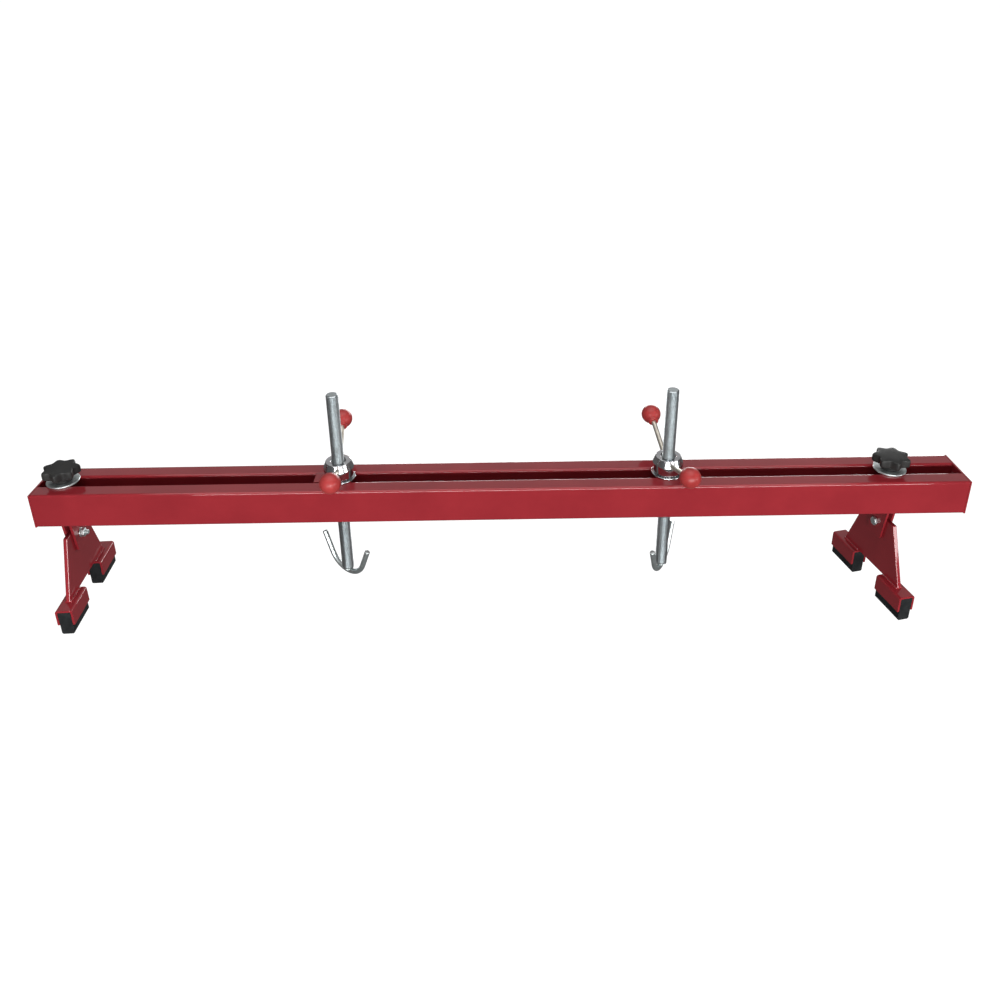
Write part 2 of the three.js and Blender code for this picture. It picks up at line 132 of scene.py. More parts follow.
world = bpy.context.scene.world or bpy.data.worlds.new("white_room")
bpy.context.scene.world = world
world.use_nodes = True
world.node_tree.nodes["Background"].inputs["Color"].default_value = (1, 1, 1, 1)
world.node_tree.nodes["Background"].inputs["Strength"].default_value = room_light
for name, where, target, size, power in lights:
    bpy.ops.object.light_add(type="AREA", location=where)
    lamp = bpy.context.object
    lamp.name = name
    lamp.data.shape = "RECTANGLE"
    lamp.data.size, lamp.data.size_y = size
    lamp.data.energy = power
    aim = (Vector(target) - Vector(where)).to_track_quat("-Z", "Y")
    lamp.rotation_euler = aim.to_euler()


# Rails: two rectangular steel tubes, front and rear, 60 by 30 mm with a 2.5 mm wall.
# Cold-drawn tube with round corners, sprayed with gloss red enamel after welding.
rail_wall = 2.5 * mm
rail_corner = 4 * mm
red_enamel_colour = (0.225, 0.0150, 0.021, 1)
red_enamel_light = (0.262, 0.0185, 0.025, 1)


def fresh():
    """Object mode with nothing selected."""
    if bpy.context.object and bpy.context.object.mode != "OBJECT":
        bpy.ops.object.mode_set(mode="OBJECT")
    bpy.ops.object.select_all(action="DESELECT")


def take(piece):
    """Only this piece selected, in object mode."""
    fresh()
    piece.select_set(True)
    bpy.context.view_layer.objects.active = piece


def named(name):
    """The piece just made, under its own name."""
    piece = bpy.context.object
    piece.name = name
    piece.data.name = name
    return piece


def block(name, low, high):
    """A square block that fills the box between two corners."""
    fresh()
    middle = [(a + b) / 2 for a, b in zip(low, high)]
    bpy.ops.mesh.primitive_cube_add(size=1, location=middle)
    piece = named(name)
    piece.scale = [b - a for a, b in zip(low, high)]
    bpy.ops.object.transform_apply(location=True, rotation=True, scale=True)
    return piece


def pick(piece, kind, test):
    """Edit mode with the vertices, edges or faces selected whose middle passes the test."""
    take(piece)
    bpy.ops.object.mode_set(mode="EDIT")
    bpy.ops.mesh.select_mode(type=kind)
    bpy.ops.mesh.select_all(action="DESELECT")
    mesh = bmesh.from_edit_mesh(piece.data)
    mesh.normal_update()
    found = {"VERT": mesh.verts, "EDGE": mesh.edges, "FACE": mesh.faces}[kind]
    for element in found:
        corners = [element] if kind == "VERT" else element.verts
        middle = sum((corner.co for corner in corners), Vector()) / len(corners)
        if test(middle, element):
            element.select_set(True)
    bmesh.update_edit_mesh(piece.data)


def runs(edge, axis):
    """True where the edge runs along axis 0, 1 or 2."""
    line = (edge.verts[1].co - edge.verts[0].co).normalized()
    return abs(line[axis]) > 0.99


def modify(piece, kind, **settings):
    """Adds a modifier with these settings and applies it."""
    take(piece)
    bpy.ops.object.modifier_add(type=kind)
    modifier = piece.modifiers[-1]
    for key, value in settings.items():
        setattr(modifier, key, value)
    bpy.ops.object.modifier_apply(modifier=modifier.name)


def soften(piece, width, segments=3, angle=35):
    """Rounds the sharp edges a little and smooths the rest."""
    modify(piece, "BEVEL", width=width, segments=segments, limit_method="ANGLE",
           angle_limit=math.radians(angle), harden_normals=False)
    take(piece)
    bpy.ops.object.shade_smooth_by_angle(angle=math.radians(angle))
    modify(piece, "WEIGHTED_NORMAL", keep_sharp=True)


def surface(name, colour, roughness, metallic=0.0):
    """A new material and short ways to its shader, nodes and links."""
    material = bpy.data.materials.new(name)
    material.use_nodes = True
    nodes = material.node_tree.nodes
    shader = nodes["Principled BSDF"]
    shader.inputs["Base Color"].default_value = colour
    shader.inputs["Roughness"].default_value = roughness
    shader.inputs["Metallic"].default_value = metallic
    return material, shader, nodes, material.node_tree.links


def pattern(nodes, links, kind="ShaderNodeTexNoise", stretch=(1, 1, 1), **values):
    """A texture on Object coordinates; sizes are in waves per metre."""
    coordinates = nodes.new("ShaderNodeTexCoord")
    mapping = nodes.new("ShaderNodeMapping")
    mapping.inputs["Scale"].default_value = stretch
    texture = nodes.new(kind)
    links.new(coordinates.outputs["Object"], mapping.inputs["Vector"])
    links.new(mapping.outputs["Vector"], texture.inputs["Vector"])
    for key, value in values.items():
        texture.inputs[key].default_value = value
    return texture


def blend_colours(nodes, links, factor, dark, light, low=0.35, high=0.65):
    """A colour that goes from dark to light as the factor goes from low to high."""
    ramp = nodes.new("ShaderNodeValToRGB")
    ramp.color_ramp.elements[0].position = low
    ramp.color_ramp.elements[0].color = dark
    ramp.color_ramp.elements[1].position = high
    ramp.color_ramp.elements[1].color = light
    links.new(factor, ramp.inputs["Fac"])
    return ramp.outputs["Color"]


def spread(nodes, links, factor, low, high):
    """The factor, from 0 to 1, spread between two values."""
    scale = nodes.new("ShaderNodeMapRange")
    scale.inputs["To Min"].default_value = low
    scale.inputs["To Max"].default_value = high
    links.new(factor, scale.inputs["Value"])
    return scale.outputs["Result"]


def bumps(nodes, links, shader, layers):
    """Chains bump layers of (height output, strength, depth) into the shader's normal."""
    normal = None
    for height, strength, depth in layers:
        bump = nodes.new("ShaderNodeBump")
        bump.inputs["Strength"].default_value = strength
        bump.inputs["Distance"].default_value = depth
        links.new(height, bump.inputs["Height"])
        if normal:
            links.new(normal, bump.inputs["Normal"])
        normal = bump.outputs["Normal"]
    links.new(normal, shader.inputs["Normal"])


def make_red_enamel():
    """Gloss enamel: slightly uneven colour, orange peel, drifts of dust that dull it."""
    material, shader, nodes, links = surface("red_enamel", red_enamel_colour, 0.3)
    drift = pattern(nodes, links, Scale=9, Detail=4, Roughness=0.6)
    links.new(
        blend_colours(nodes, links, drift.outputs["Fac"], red_enamel_colour, red_enamel_light),
        shader.inputs["Base Color"],
    )
    dust = pattern(nodes, links, Scale=60, Detail=6, Roughness=0.7)
    links.new(spread(nodes, links, dust.outputs["Fac"], 0.22, 0.42), shader.inputs["Roughness"])
    peel = pattern(nodes, links, Scale=420, Detail=1, Roughness=0.4)
    sag = pattern(nodes, links, Scale=38, Detail=2, Roughness=0.5)
    bumps(nodes, links, shader, (
        (peel.outputs["Fac"], 0.12, 0.0003), (sag.outputs["Fac"], 0.08, 0.001),
    ))
    shader.inputs["Specular IOR Level"].default_value = 0.03
    shader.inputs["Coat Weight"].default_value = 0.9
    shader.inputs["Coat Roughness"].default_value = 0.05
    return material


red_enamel = make_red_enamel()


def dress(piece, material, body, slot_name, *nodes_replaced):
    """Gives the piece its finish, its body and its place among the CAD nodes."""
    fresh()
    piece.data.materials.clear()
    piece.data.materials.append(material)
    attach(piece, body)
    if nodes_replaced:
        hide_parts(*nodes_replaced)


for side in ("front", "rear"):
    low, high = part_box(f"{side}_rail")
    rail = block(f"{side}_rail_tube", low, high)
    pick(rail, "FACE", lambda middle, face: abs(face.normal.x) > 0.9)
    bpy.ops.mesh.delete(type="FACE")
    pick(rail, "EDGE", lambda middle, edge: runs(edge, 0))
    bpy.ops.mesh.bevel(offset=rail_corner, segments=6, affect="EDGES")
    modify(rail, "SOLIDIFY", thickness=rail_wall, offset=-1)
    soften(rail, 0.3 * mm, 2)
    dress(rail, red_enamel, "bar", "red_paint", f"{side}_rail")

# End plates: sheared 3 mm plate welded over both tube ends, its corners left square.
# The weld is ground flush and painted over, so the plate's edge is all that shows.
for side in ("left", "right"):
    low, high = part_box(f"{side}_end_plate")
    plate = block(f"{side}_end_cover", low, high)
    soften(plate, 0.5 * mm)
    dress(plate, red_enamel, "bar", "red_paint", f"{side}_end_plate")

# Cross plates: flat bar let in flush between the rails and welded along both long edges.
# They tie the tubes together and stop the screws and the feet from passing each other.
for side in ("left", "right"):
    low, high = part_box(f"{side}_cross_plate")
    plate = block(f"{side}_cross_bar", low, high)
    soften(plate, 0.8 * mm)
    dress(plate, red_enamel, "bar", "red_paint", f"{side}_cross_plate")


# Foot clamps: a zinc-plated washer on the rails under a moulded star knob with seven lobes.
# Each knob holds a pressed-in threaded bush and runs on a stud that comes up through the slot.
knob_lobes = 7
knob_facets = knob_lobes * 16
knob_lobe_depth = 7.5 * mm
knob_lobe_start = 0.62  # share of the radius where the lobes begin
knob_radius = 29.9 * mm
knob_edge = 3 * mm
knob_grip_start = 9.5 * mm
knob_hub = ((14, 0), (15, 0.6), (15.2, 2.5), (15.6, 5), (17, 7.4), (20.5, 9))  # radius, height
knob_crown = ((0.84, 0.6), (0.7, 0.35), (0.5, 0.1), (0.25, 0), (0.05, 0))  # share, drop
knob_crown_drop = 0.8 * mm
clamp_washer_bore = 6.15 * mm
clamp_washer_radius = 25.9 * mm
clamp_washer_edge = 0.9 * mm
stud_radius = 6 * mm
zinc_colours = ((0.52, 0.57, 0.57, 1), (0.70, 0.75, 0.75, 1))
knob_turns = {"left": math.radians(14.5), "right": 0}
knob_colour = (0.012, 0.012, 0.012, 1)
knob_worn_colour = (0.025, 0.025, 0.024, 1)
stud_pitch = 1.75 * mm


def joint(name):
    """The frame's entry for a joint."""
    return next(entry for entry in frame["joints"] if entry["name"] == name)


def place(piece, where, turn=(0, 0, 0)):
    """Sets the piece down and puts its place and turn into its mesh."""
    take(piece)
    piece.rotation_euler = turn
    piece.location = where
    bpy.ops.object.transform_apply(location=True, rotation=True, scale=True)
    return piece


def near(value, target, slack=1e-5):
    """True where two measures are the same."""
    return abs(value - target) < slack


def seal(piece):
    """Merges doubled points and turns the faces outwards."""
    take(piece)
    bpy.ops.object.mode_set(mode="EDIT")
    bpy.ops.mesh.select_all(action="SELECT")
    bpy.ops.mesh.remove_doubles(threshold=1e-6)
    bpy.ops.mesh.normals_make_consistent(inside=False)
    bpy.ops.object.mode_set(mode="OBJECT")


def turned(name, rings, facets, bored=False):
    """A round piece about Z from [radius, height] rings; a bored one closes on its first ring."""
    fresh()
    radius, height = rings[0]
    fill = "NOTHING" if bored else "NGON"
    bpy.ops.mesh.primitive_circle_add(vertices=facets, radius=radius, fill_type=fill,
                                      location=(0, 0, height))
    piece = place(named(name), (0, 0, height))
    bpy.ops.object.mode_set(mode="EDIT")
    bpy.ops.mesh.select_mode(type="EDGE")
    bpy.ops.mesh.select_all(action="SELECT")
    for new_radius, new_height in rings[1:] + (rings[:1] if bored else []):
        step = {"value": (0, 0, new_height - height)}
        if bored:
            bpy.ops.mesh.extrude_edges_move(TRANSFORM_OT_translate=step)
        else:
            bpy.ops.mesh.extrude_region_move(TRANSFORM_OT_translate=step)
        grow = new_radius / radius
        bpy.ops.transform.resize(value=(grow, grow, 1), center_override=(0, 0, 0))
        radius, height = new_radius, new_height
    bpy.ops.object.mode_set(mode="OBJECT")
    seal(piece)
    return piece


def rounded_ring(inner, outer, low, high, edge, steps=3):
    """Rings of a flat washer whose outer edge is rounded top and bottom."""
    rings = [(inner, low)]
    for corner, start in ((low + edge, -90), (high - edge, 0)):
        for step in range(steps + 1):
            angle = math.radians(start + 90 * step / steps)
            rings.append((outer - edge + edge * math.cos(angle), corner + edge * math.sin(angle)))
    rings.append((inner, high))
    return rings


def threaded(name, radius, pitch, low, high, facets=32, lead=0.0):
    """A threaded rod about Z: one thread's outline swept up the rod, its ends cut square."""
    depth = 0.6 * pitch
    fresh()
    bpy.ops.mesh.primitive_plane_add(size=pitch)
    rod = named(name)
    pick(rod, "FACE", lambda middle, face: True)
    bpy.ops.mesh.delete(type="ONLY_FACE")
    pick(rod, "EDGE", lambda middle, edge: near(middle.x, -pitch / 2))
    bpy.ops.mesh.delete(type="EDGE")
    bpy.ops.object.mode_set(mode="OBJECT")
    outline = ((radius - depth, 0), (radius, 0.42), (radius, 0.58), (radius - depth, 1))
    chain = sorted(rod.data.vertices, key=lambda v: (v.co.y > 0, v.co.x if v.co.y < 0 else -v.co.x))
    for vertex, (out, share) in zip(chain, outline):
        vertex.co = (out, 0, low + (share - 1) * pitch)
    turns = math.ceil((high - low) / pitch) + 2
    modify(rod, "SCREW", angle=2 * math.pi, screw_offset=pitch, iterations=turns, steps=facets,
           render_steps=facets, axis="Z", use_merge_vertices=True, merge_threshold=1e-6)
    for height, way in ((low, -1), (high, 1)):
        pick(rod, "FACE", lambda middle, face: True)
        bpy.ops.mesh.bisect(plane_co=(0, 0, height), plane_no=(0, 0, way), use_fill=True,
                            clear_outer=True, threshold=1e-6)
    bpy.ops.object.mode_set(mode="OBJECT")
    for vertex in rod.data.vertices:
        allowed = radius - lead + min(high - vertex.co.z, vertex.co.z - low)
        out = math.hypot(vertex.co.x, vertex.co.y)
        if lead and out > allowed:
            vertex.co.x *= allowed / out
            vertex.co.y *= allowed / out
    seal(rod)
    bpy.ops.object.shade_smooth_by_angle(angle=math.radians(30))
    return rod


def make_zinc(name, colours, smooth, rough):
    """Zinc plate: mottled grey with a cool cast, fine grain, dull patches."""
    dull, bright = colours
    material, shader, nodes, links = surface(name, bright, 0.3, 0.95)
    spangle = pattern(nodes, links, Scale=160, Detail=5, Roughness=0.65)
    links.new(
        blend_colours(nodes, links, spangle.outputs["Fac"], dull, bright),
        shader.inputs["Base Color"],
    )
    cloud = pattern(nodes, links, Scale=45, Detail=4, Roughness=0.6)
    links.new(spread(nodes, links, cloud.outputs["Fac"], smooth, rough), shader.inputs["Roughness"])
    grain = pattern(nodes, links, Scale=1400, Detail=2, Roughness=0.5)
    bumps(nodes, links, shader, ((grain.outputs["Fac"], 0.12, 0.0001),))
    return material


def make_knob_plastic():
    """Black moulded nylon: fine spark-eroded grain, rubbed a little smoother in patches."""
    material, shader, nodes, links = surface("black_nylon", knob_colour, 0.45)
    rub = pattern(nodes, links, Scale=30, Detail=4, Roughness=0.6)
    links.new(
        blend_colours(nodes, links, rub.outputs["Fac"], knob_colour, knob_worn_colour),
        shader.inputs["Base Color"],
    )
    links.new(spread(nodes, links, rub.outputs["Fac"], 0.36, 0.58), shader.inputs["Roughness"])
    grain = pattern(nodes, links, "ShaderNodeTexVoronoi", Scale=1500)
    bumps(nodes, links, shader, ((grain.outputs["Distance"], 0.25, 0.0001),))
    shader.inputs["Specular IOR Level"].default_value = 0.3
    return material


satin_zinc = make_zinc("satin_zinc", zinc_colours, 0.30, 0.48)
knob_nylon = make_knob_plastic()


def star_knob(name, radius, low, high):
    """Waisted hub under a lobed grip with rounded lobes and a flat, faintly crowned top."""
    grip_low = low + knob_grip_start
    inner = radius - knob_edge
    steps = 5
    rings = [(out * mm, low + height * mm) for out, height in knob_hub] + [(inner, grip_low)]
    for step in range(1, steps + 1):
        angle = math.radians(90 * step / steps)
        rings.append((inner + knob_edge * math.sin(angle),
                      grip_low + knob_edge - knob_edge * math.cos(angle)))
    for step in range(steps + 1):
        angle = math.radians(90 * step / steps)
        rings.append((inner + knob_edge * math.cos(angle),
                      high - knob_crown_drop - knob_edge + knob_edge * math.sin(angle)))
    rings += [(share * radius, high - drop * mm) for share, drop in knob_crown]
    knob = turned(name, rings, knob_facets)
    for vertex in knob.data.vertices:
        out = math.hypot(vertex.co.x, vertex.co.y)
        share = min(max(out / radius - knob_lobe_start, 0) / (1 - knob_lobe_start), 1)
        angle = math.atan2(vertex.co.y, vertex.co.x)
        dip = ((1 - math.cos(knob_lobes * angle)) / 2) ** 0.8
        kept = 1 - share * knob_lobe_depth / radius * dip
        vertex.co.x *= kept
        vertex.co.y *= kept
    bpy.ops.object.shade_smooth_by_angle(angle=math.radians(50))
    return knob


feet = {}
for side in ("left", "right"):
    foot_x = joint(f"{side}_knob_turn")["pos_m"][0]
    along = joint(f"{side}_leg_rock")["axis"]
    feet[side] = (foot_x, math.atan2(along[1], along[0]))
    washer_low, washer_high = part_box(f"{side}_clamp_washer")
    rings = rounded_ring(clamp_washer_bore, clamp_washer_radius, washer_low[2], washer_high[2],
                         clamp_washer_edge)
    washer = turned(f"{side}_zinc_washer", rings, 72, bored=True)
    place(washer, (foot_x, 0, 0))
    bpy.ops.object.shade_smooth_by_angle(angle=math.radians(50))
    dress(washer, satin_zinc, f"{side}_clamp", "zinc_steel", f"{side}_clamp_washer")

    knob_low, knob_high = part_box(f"{side}_knob")
    knob = star_knob(f"{side}_star_knob", knob_radius, knob_low[2], knob_high[2])
    place(knob, (foot_x, 0, 0), (0, 0, feet[side][1] + knob_turns[side]))
    dress(knob, knob_nylon, f"{side}_knob", "black_knob", f"{side}_knob")

    stud_low, stud_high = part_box(f"{side}_clamp_stud")
    stud = threaded(f"{side}_threaded_stud", stud_radius, stud_pitch, stud_low[2], stud_high[2],
                    24)
    place(stud, (foot_x, 0, 0))
    dress(stud, satin_zinc, f"{side}_stud", "zinc_steel", f"{side}_clamp_stud")
    insert = bpy.data.objects[f"{side}_knob_insert"]
    insert.data.materials.clear()
    insert.data.materials.append(satin_zinc)

# Brackets: 4 mm strip folded into an upside-down U, its ears tapered to a round tip.
# Each hangs from its stud under the rails and carries the leg on a hexagon bolt.
bracket_wall = 4 * mm
bracket_bend = 5 * mm
bracket_top_half = 26 * mm
bracket_tip_half = 17 * mm
bracket_half_width = 8 * mm
bracket_tip_radius = 5 * mm
bracket_tip_round = 4 * mm
bolt_radius = 4 * mm
bolt_gap = 0.3 * mm
bolt_lead = 0.8 * mm
bolt_across_flats = 13 * mm
bolt_head_height = 5.3 * mm
bolt_nut_height = 6.5 * mm
bolt_washer_height = 1.6 * mm
bolt_washer_radius = 7.9 * mm
bolt_washer_edge = 0.5 * mm
bolt_clearance = 0.15 * mm
bolt_proud = 5 * mm
bolt_pitch = 1.25 * mm


def folded(name, low, high, wall, bend):
    """A U of bent plate along Y, open below and at both ends, with its outside in the box."""
    piece = block(name, low, high)
    pick(piece, "EDGE", lambda middle, edge: runs(edge, 1) and near(middle.z, high[2]))
    bpy.ops.mesh.bevel(offset=bend, segments=6, affect="EDGES")
    pick(piece, "FACE", lambda middle, face: abs(face.normal.y) > 0.9 or face.normal.z < -0.9)
    bpy.ops.mesh.delete(type="FACE")
    modify(piece, "SOLIDIFY", thickness=wall, offset=-1)
    seal(piece)
    return piece


def cut(piece, point, outward):
    """Saws off what lies beyond a plane and closes the cut."""
    pick(piece, "FACE", lambda middle, face: True)
    bpy.ops.mesh.bisect(plane_co=point, plane_no=outward, use_fill=True, clear_outer=True,
                        threshold=1e-6)
    bpy.ops.object.mode_set(mode="OBJECT")
    seal(piece)


def join(name, *pieces):
    """One piece made of several."""
    fresh()
    for piece in pieces:
        piece.select_set(True)
    bpy.context.view_layer.objects.active = pieces[0]
    bpy.ops.object.join()
    return named(name)


def hexagon(name, across, low, high):
    """A hexagon block about Z whose upper corners are turned off."""
    chamfer = 0.9 * mm
    fresh()
    bpy.ops.mesh.primitive_cylinder_add(vertices=6, radius=across / math.sqrt(3),
                                        depth=high - low - chamfer)
    piece = place(named(name), (0, 0, (high + low - chamfer) / 2))
    pick(piece, "FACE", lambda middle, face: face.normal.z > 0.9)
    bpy.ops.mesh.inset(thickness=1.1 * mm, depth=chamfer)
    bpy.ops.object.mode_set(mode="OBJECT")
    soften(piece, 0.35 * mm, 2, 25)
    return piece


def stand(piece, side):
    """Sets a piece made at the origin on its foot's axis, turned as the foot stands."""
    return place(piece, (feet[side][0], 0, 0), (0, 0, feet[side][1]))


pivot_height = joint("left_leg_rock")["pos_m"][2]
bracket_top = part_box("left_bracket")[1][2]
bracket_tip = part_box("left_bracket")[0][2]
for side in ("left", "right"):
    strap = folded(f"{side}_folded_bracket", (-bracket_half_width, -bracket_top_half, bracket_tip),
                   (bracket_half_width, bracket_top_half, bracket_top), bracket_wall, bracket_bend)
    rise = bracket_top - bracket_tip - bracket_tip_radius
    run = bracket_top_half - bracket_tip_half
    for way in (-1, 1):
        cut(strap, (0, way * bracket_top_half, bracket_top), (0, way * rise, -run))
    pick(strap, "EDGE", lambda middle, edge: runs(edge, 0) and near(middle.z, bracket_tip, 1e-4))
    bpy.ops.mesh.bevel(offset=bracket_tip_round, segments=6, affect="EDGES")
    soften(strap, 0.5 * mm, 2)
    stand(strap, side)
    dress(strap, red_enamel, f"{side}_bracket", "red_paint", f"{side}_bracket")

    stack = bracket_half_width + bolt_gap
    head = hexagon("head", bolt_across_flats, 0, bolt_head_height)
    place(head, (-stack, 0, 0), (0, math.radians(-90), 0))
    nut_start = stack + bolt_washer_height + bolt_gap
    shank_end = nut_start + bolt_nut_height + bolt_proud
    shank = threaded("shank", bolt_radius, bolt_pitch, -stack, shank_end, 24, bolt_lead)
    place(shank, (0, 0, 0), (0, math.radians(90), 0))
    bolt = join(f"{side}_hexagon_bolt", head, shank)
    rings = rounded_ring(bolt_radius + bolt_clearance, bolt_washer_radius, 0, bolt_washer_height,
                         bolt_washer_edge)
    washer = turned(f"{side}_bolt_washer", rings, 40, bored=True)
    bpy.ops.object.shade_smooth_by_angle(angle=math.radians(50))
    place(washer, (stack, 0, 0), (0, math.radians(90), 0))
    nut = hexagon(f"{side}_hexagon_nut", bolt_across_flats, 0, bolt_nut_height)
    place(nut, (nut_start, 0, 0), (0, math.radians(90), 0))
    for piece, node in ((bolt, "pivot_bolt"), (washer, "pivot_washer"), (nut, "pivot_nut")):
        place(piece, (0, 0, pivot_height))
        stand(piece, side)
        dress(piece, satin_zinc, f"{side}_bracket", "zinc_steel", f"{side}_{node}")

# Legs: a 7 mm plate cut to a trapezium, welded upright on two short channels.
# The beads show as a rippled line on both faces of the plate; all of it is red enamel.
leg_half_thickness = 3.5 * mm
leg_top_half = 38 * mm
leg_bottom_half = 76 * mm
leg_edge = 1.3 * mm
channel_half_width = 14 * mm
channel_wall = 3.5 * mm
channel_bend = 4 * mm
channel_inner_end = 34 * mm
channel_outer_end = 97 * mm
bead_radius = 2.4 * mm
bead_ripple = 1.5 * mm
bead_lead = 0.3 * mm
bead_inset = 2 * mm
leg_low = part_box("left_leg_plate")[0][2]
leg_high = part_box("left_leg_plate")[1][2]
channel_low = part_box("left_front_foot_channel")[0][2]
channel_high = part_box("left_front_foot_channel")[1][2]


def weld_bead(name, start, end):
    """A rippled bead of weld laid between two points."""
    line = Vector(end) - Vector(start)
    ripples = max(4, round(line.length / bead_ripple))
    rings = [(0.3 * bead_radius, 0), (0.8 * bead_radius, bead_lead)]
    for step in range(1, 4 * ripples):
        swell = 1 + 0.10 * math.cos(2 * math.pi * step / 4) + 0.05 * math.sin(0.7 * step)
        along = (line.length - 2 * bead_lead) * step / (4 * ripples)
        rings.append((swell * bead_radius, bead_lead + along))
    rings += [(0.8 * bead_radius, line.length - bead_lead), (0.3 * bead_radius, line.length)]
    bead = turned(name, rings, 14)
    bpy.ops.object.shade_smooth()
    return place(bead, start, line.to_track_quat("Z", "Y").to_euler())


for side in ("left", "right"):
    plate = block(f"{side}_trapezium_plate", (-leg_half_thickness, -leg_bottom_half, leg_low),
                  (leg_half_thickness, leg_bottom_half, leg_high))
    pick(plate, "VERT", lambda middle, vertex: near(middle.z, leg_high))
    bpy.ops.transform.resize(value=(1, leg_top_half / leg_bottom_half, 1),
                             center_override=(0, 0, 0))
    bpy.ops.object.mode_set(mode="OBJECT")
    soften(plate, leg_edge, 4)
    stand(plate, side)
    dress(plate, red_enamel, f"{side}_leg", "red_paint", f"{side}_leg_plate")
    for end, way in (("front", -1), ("rear", 1)):
        near_end, far_end = sorted((way * channel_inner_end, way * channel_outer_end))
        shoe = folded(f"{side}_{end}_shoe", (-channel_half_width, near_end, channel_low),
                      (channel_half_width, far_end, channel_high), channel_wall, channel_bend)
        soften(shoe, 0.5 * mm, 2)
        stand(shoe, side)
        dress(shoe, red_enamel, f"{side}_leg", "red_paint", f"{side}_{end}_foot_channel")
        for face, out in (("inner", 1), ("outer", -1)):
            at = out * leg_half_thickness
            bead = weld_bead(f"{side}_{end}_{face}_weld",
                             (at, way * (channel_inner_end + bead_inset), channel_high),
                             (at, way * (leg_bottom_half - bead_inset / 2), channel_high))
            stand(bead, side)
            dress(bead, red_enamel, f"{side}_leg", "red_paint")

# Pads: solid black rubber blocks pushed up into the channels and standing 18 mm proud.
# Their lower edges are slightly cut back; the moulded skin is matt and greys where it is handled.
pad_half_width = 10.2 * mm
pad_cut = 2 * mm
pad_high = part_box("left_front_pad")[1][2]
rubber_colour = (0.008, 0.009, 0.010, 1)
rubber_bloom_colour = (0.019, 0.021, 0.022, 1)


def make_rubber():
    """Moulded rubber: faint grey bloom in clouds, fine skin texture and a few dents."""
    material, shader, nodes, links = surface("moulded_rubber", rubber_colour, 0.75)
    bloom = pattern(nodes, links, Scale=55, Detail=5, Roughness=0.65)
    links.new(
        blend_colours(nodes, links, bloom.outputs["Fac"], rubber_colour, rubber_bloom_colour),
        shader.inputs["Base Color"],
    )
    links.new(spread(nodes, links, bloom.outputs["Fac"], 0.62, 0.9), shader.inputs["Roughness"])
    skin = pattern(nodes, links, Scale=900, Detail=3, Roughness=0.6)
    dents = pattern(nodes, links, Scale=110, Detail=2, Roughness=0.5)
    bumps(nodes, links, shader, (
        (skin.outputs["Fac"], 0.3, 0.0002), (dents.outputs["Fac"], 0.2, 0.0006),
    ))
    shader.inputs["Specular IOR Level"].default_value = 0.15
    return material


rubber = make_rubber()
for side in ("left", "right"):
    for end, way in (("front", -1), ("rear", 1)):
        near_end, far_end = sorted((way * channel_inner_end, way * channel_outer_end))
        pad = block(f"{side}_{end}_rubber_block", (-pad_half_width, near_end, 0),
                    (pad_half_width, far_end, pad_high))
        pick(pad, "EDGE", lambda middle, edge: runs(edge, 1) and near(middle.z, 0))
        bpy.ops.mesh.bevel(offset=pad_cut, segments=1, affect="EDGES")
        soften(pad, 0.6 * mm)
        stand(pad, side)
        dress(pad, rubber, f"{side}_leg", "pad_rubber", f"{side}_{end}_pad")

# Lift nuts: a chromed double cone on a thrust washer, with two lever rods let into its waist.
# Turning it raises the screw; a red moulded ball with a short neck ends each lever.
stations = {
    "left": (joint("left_nut_turn")["pos_m"][0], math.radians(4), math.radians(-37.8)),
    "right": (joint("right_nut_turn")["pos_m"][0], math.radians(6.3), math.radians(-119.1)),
}
nut_bore = 10.15 * mm
nut_outline = ((nut_bore, 0), (23 * mm, 0), (24.9 * mm, 14 * mm), (24.9 * mm, 17 * mm),
               (20.5 * mm, 29 * mm), (13 * mm, 29 * mm), (nut_bore, 26 * mm))
lever_radius = 4 * mm
lever_tilt = math.radians(20.2)
lever_axis_height = 14.6 * mm
lever_start = 13 * mm / math.cos(lever_tilt)
lever_end = 107 * mm / math.cos(lever_tilt)
lever_edge = 0.4 * mm
ball_radius = 16.5 * mm
ball_steps = 14
neck_radius = 8.5 * mm
neck_length = 19 * mm
neck_top = -15.6 * mm
neck_edge = 0.7 * mm
thrust_washer_radius = 26.4 * mm
thrust_washer_edge = 0.8 * mm
chrome_colour = (0.62, 0.62, 0.63, 1)
chrome_haze_colour = (0.50, 0.50, 0.52, 1)
ball_colour = (0.36, 0.038, 0.037, 1)
ball_dark_colour = (0.28, 0.027, 0.026, 1)
lever_colour = (0.66, 0.62, 0.54, 1)
lever_dull_colour = (0.52, 0.48, 0.41, 1)


def make_chrome():
    """Polished chrome over turned steel: rings left by the tool, a thin haze in clouds."""
    material, shader, nodes, links = surface("polished_chrome", chrome_colour, 0.1, 1.0)
    haze = pattern(nodes, links, Scale=70, Detail=4, Roughness=0.6)
    links.new(
        blend_colours(nodes, links, haze.outputs["Fac"], chrome_haze_colour, chrome_colour),
        shader.inputs["Base Color"],
    )
    links.new(spread(nodes, links, haze.outputs["Fac"], 0.12, 0.22), shader.inputs["Roughness"])
    tooling = pattern(nodes, links, stretch=(1, 1, 14), Scale=120, Detail=2, Roughness=0.5)
    bumps(nodes, links, shader, ((tooling.outputs["Fac"], 0.06, 0.0002),))
    return material


